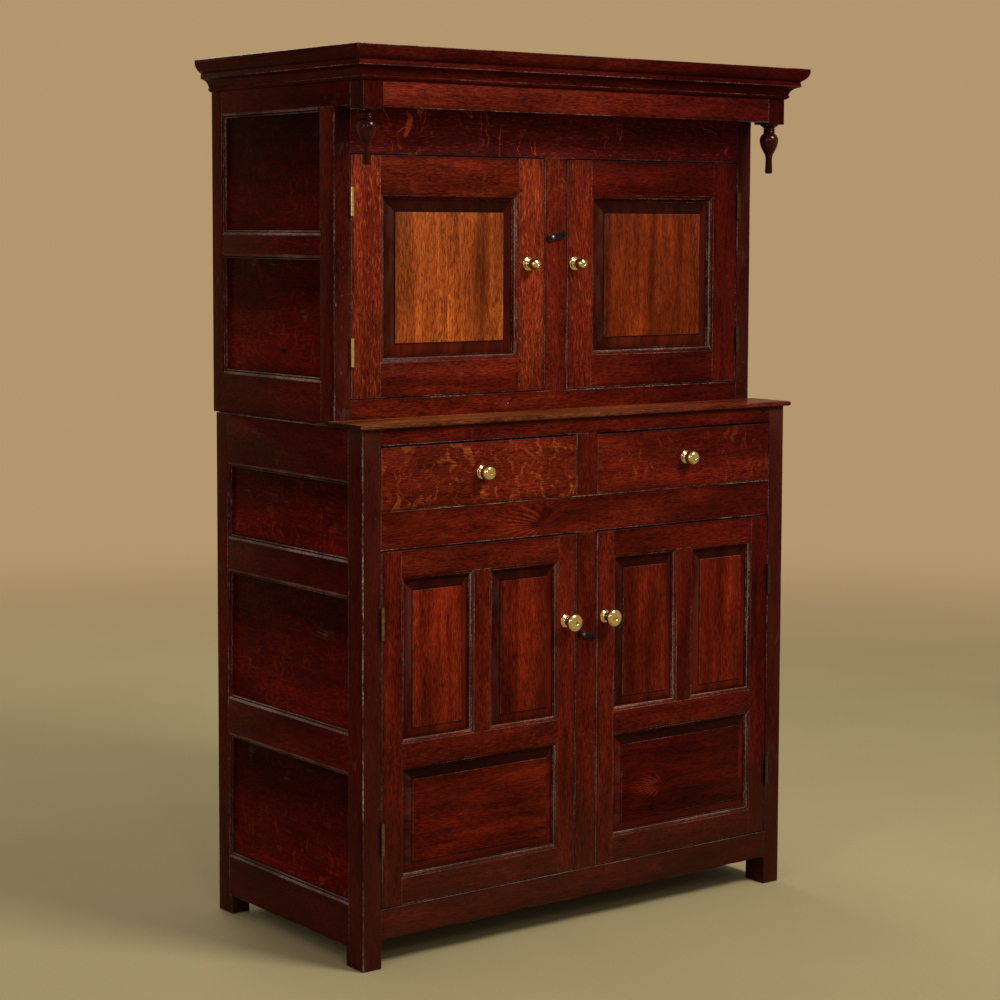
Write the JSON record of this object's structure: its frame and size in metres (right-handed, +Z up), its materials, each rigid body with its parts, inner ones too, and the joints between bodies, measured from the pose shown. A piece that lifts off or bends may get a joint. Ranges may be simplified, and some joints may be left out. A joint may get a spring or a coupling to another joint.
{
  "type": "court cupboard",
  "caption": "Two-stage joined oak cupboard: panelled doors below drawers, and an upper case set back under a canopy with turned pendants.",
  "frame": {"origin": "on the floor, under the middle of the whole piece", "axes": "+X to the viewer's right, +Y to the back, +Z up; the doors and drawers face -Y"},
  "size_m": [1.182, 0.614, 1.8],
  "materials": {
    "front_oak": "waxed, dark red-brown",
    "side_oak": "waxed, very dark red-brown",
    "panel_oak": "waxed, orange-brown",
    "plain_oak": "dry, unpolished",
    "black_oak": "blackened, waxed",
    "brass": "polished, worn",
    "iron": "dark, hand-forged"
  },
  "bodies": {
    "case": {"button_nails": "iron", "cornice_front": "front_oak", "cornice_sides": "side_oak", "drawer_muntin": "front_oak", "drawer_runners": "plain_oak", "frieze_board": "front_oak", "lower_back_boards": "plain_oak", "lower_back_rails": "plain_oak", "lower_door_muntin": "front_oak", "lower_drawer_rail": "front_oak", "lower_floor_boards": "plain_oak", "lower_front_bottom_rail": "front_oak", "lower_front_top_rail": "front_oak", "lower_posts": "side_oak", "lower_shelf": "plain_oak", "lower_side_panels": "side_oak", "lower_side_rails": "side_oak", "lower_top_boards": "plain_oak", "pendant_blocks": "side_oak", "pendants": "front_oak", "post_hinge_leaves": "brass", "roof_boards": "plain_oak", "shelf_bearers": "plain_oak", "top_board": "front_oak", "upper_back_boards": "plain_oak", "upper_back_rails": "plain_oak", "upper_door_muntin": "front_oak", "upper_floor_boards": "plain_oak", "upper_front_bottom_rail": "front_oak", "upper_front_top_rail": "front_oak", "upper_posts": "side_oak", "upper_shelf": "plain_oak", "upper_side_panels": "side_oak", "upper_side_rails": "side_oak"},
    "upper_left_door": {"upper_left_door_frame": "front_oak", "upper_left_door_knob_and_hinges": "brass", "upper_left_door_panel": "panel_oak"},
    "upper_right_door": {"upper_right_door_frame": "front_oak", "upper_right_door_knob_and_hinges": "brass", "upper_right_door_panel": "panel_oak"},
    "lower_left_door": {"lower_left_door_frame": "front_oak", "lower_left_door_knob_and_hinges": "brass", "lower_left_door_panels": "panel_oak"},
    "lower_right_door": {"lower_right_door_frame": "front_oak", "lower_right_door_knob_and_hinges": "brass", "lower_right_door_panels": "panel_oak"},
    "left_drawer": {"left_drawer_box": "plain_oak", "left_drawer_front": "front_oak", "left_drawer_knob": "brass"},
    "right_drawer": {"right_drawer_box": "plain_oak", "right_drawer_front": "front_oak", "right_drawer_knob": "brass"},
    "upper_turn_button": {"upper_turn_button": "black_oak"},
    "lower_turn_button": {"lower_turn_button": "black_oak"}
  },
  "joints": [
    {"name": "upper_left_door_hinge", "type": "hinge", "parent": "case", "child": "upper_left_door", "pos_m": [-0.511, -0.1644, 1.357], "axis": [0, 0, -1], "range_deg": [0, 95]},
    {"name": "upper_right_door_hinge", "type": "hinge", "parent": "case", "child": "upper_right_door", "pos_m": [0.511, -0.1644, 1.357], "axis": [0, 0, 1], "range_deg": [0, 95]},
    {"name": "lower_left_door_hinge", "type": "hinge", "parent": "case", "child": "lower_left_door", "pos_m": [-0.513, -0.2724, 0.474], "axis": [0, 0, -1], "range_deg": [0, 170]},
    {"name": "lower_right_door_hinge", "type": "hinge", "parent": "case", "child": "lower_right_door", "pos_m": [0.513, -0.2724, 0.474], "axis": [0, 0, 1], "range_deg": [0, 170]},
    {"name": "left_drawer_slide", "type": "slide", "parent": "case", "child": "left_drawer", "axis": [0, -1, 0], "range_m": [0, 0.38]},
    {"name": "right_drawer_slide", "type": "slide", "parent": "case", "child": "right_drawer", "axis": [0, -1, 0], "range_m": [0, 0.38]},
    {"name": "upper_turn_button_pivot", "type": "hinge", "parent": "case", "child": "upper_turn_button", "pos_m": [-0.0115, -0.1629, 1.43456], "axis": [0, -1, 0], "range_deg": [0, 168]},
    {"name": "lower_turn_button_pivot", "type": "hinge", "parent": "case", "child": "lower_turn_button", "pos_m": [-0.01027, -0.2709, 0.61536], "axis": [0, 1, 0], "range_deg": [0, 162]}
  ]
}
